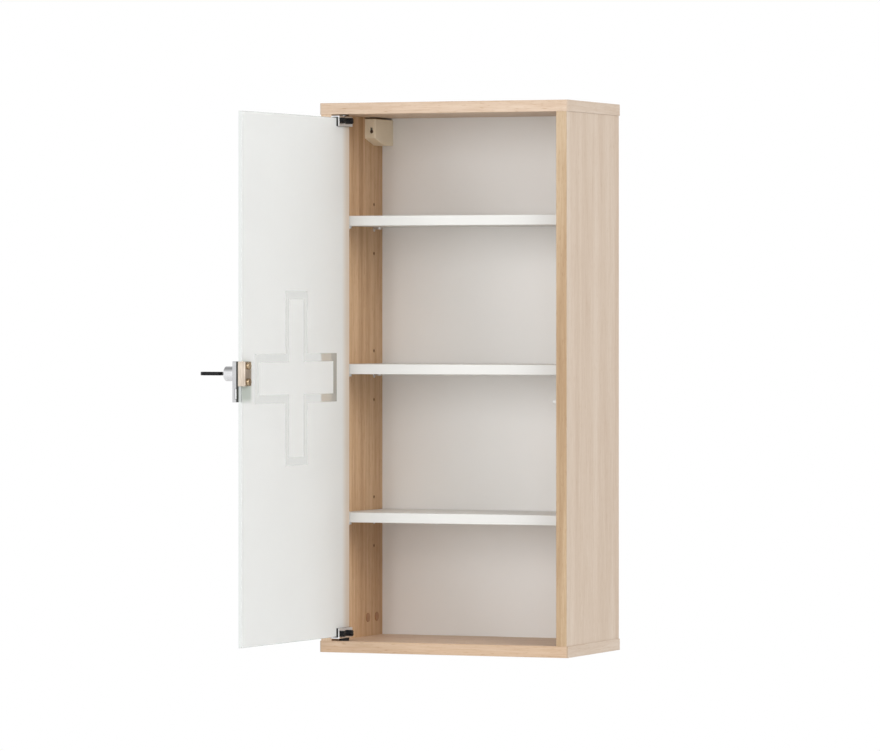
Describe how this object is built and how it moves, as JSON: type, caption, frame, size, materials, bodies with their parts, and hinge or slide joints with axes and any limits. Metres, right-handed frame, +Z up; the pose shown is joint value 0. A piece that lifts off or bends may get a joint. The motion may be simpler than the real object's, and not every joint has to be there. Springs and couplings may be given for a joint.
{
  "type": "medicine cabinet",
  "caption": "Wall-hung medicine cabinet in light oak board with white shelves on spoon pins and a lockable frosted glass door with an outlined cross, hung on top and bottom pivots.",
  "frame": {"origin": "centre of the bottom board's underside", "axes": "X to the right as seen from the front, Y to the rear toward the wall, Z up"},
  "size_m": [0.4554, 0.5477, 0.82],
  "materials": {
    "oak_finish": "light oak foil, satin",
    "white_board": "white melamine, satin",
    "plated_steel": "zinc plated",
    "cast_zinc": "die cast",
    "brown_plastic": "satin",
    "dowel_wood": "raw beech",
    "beige_plastic": "satin",
    "nylon": "satin",
    "clear_glass": "toughened, polished edges",
    "frosting": "matt frosting",
    "polished_chrome": "polished",
    "black_rubber": "matt",
    "black_plastic": "satin",
    "champagne_metal": "champagne nickel, satin",
    "screw_brass": "plain"
  },
  "bodies": {
    "carcass": {"top_board": "oak_finish", "bottom_board": "oak_finish", "left_side_board": "oak_finish", "right_side_board": "oak_finish", "back_panel": "white_board", "lower_shelf": "white_board", "middle_shelf": "white_board", "upper_shelf": "white_board", "shelf_pins": "plated_steel", "cam_discs": "cast_zinc", "cam_bolts": "plated_steel", "cam_caps": "brown_plastic", "wood_dowels": "dowel_wood", "left_hanger_housing": "beige_plastic", "right_hanger_housing": "beige_plastic", "hanger_hooks": "plated_steel", "hanger_adjusters": "plated_steel", "top_pivot_bush": "black_plastic", "bottom_pivot_bush": "black_plastic", "strike_plate": "plated_steel", "strike_screws": "plated_steel", "door_stop_pin": "nylon"},
    "door": {"door_glass": "clear_glass", "door_frosting": "frosting", "bottom_hinge_clip": "polished_chrome", "top_hinge_clip": "polished_chrome", "hinge_liners": "black_rubber", "hinge_clamp_screws": "black_plastic", "pivot_pins": "plated_steel", "lock_plate": "polished_chrome", "lock_gasket": "black_rubber", "lock_cylinder": "polished_chrome", "lock_clamp": "champagne_metal", "lock_clamp_pad": "black_rubber", "lock_clamp_bolts": "screw_brass"},
    "plug": {"lock_plug": "screw_brass", "lock_drive_cam": "plated_steel"},
    "bolt": {"lock_slide_bolt": "plated_steel"},
    "key": {"key_blade": "plated_steel", "key_bow": "black_plastic"}
  },
  "joints": [
    {"name": "door_swing", "type": "hinge", "parent": "carcass", "child": "door", "pos_m": [-0.165, -0.0955, 0.411], "axis": [0, 0, -1], "range_deg": [-93, 17]},
    {"name": "plug_turn", "type": "hinge", "parent": "door", "child": "plug", "pos_m": [-0.19347, -0.40944, 0.419], "axis": [-0.9986, 0.0523, 0], "range_deg": [0, 90]},
    {"name": "bolt_slide", "type": "slide", "parent": "door", "child": "bolt", "axis": [-0.0523, -0.9986, 0], "range_m": [0, 0.009]},
    {"name": "key_pull", "type": "slide", "parent": "plug", "child": "key", "axis": [-0.9986, 0.0523, 0], "range_m": [0, 0.04]}
  ],
  "couplings": [
    {"joint": "bolt_slide", "follows": "plug_turn", "m_per_rad": 0.0057296}
  ]
}
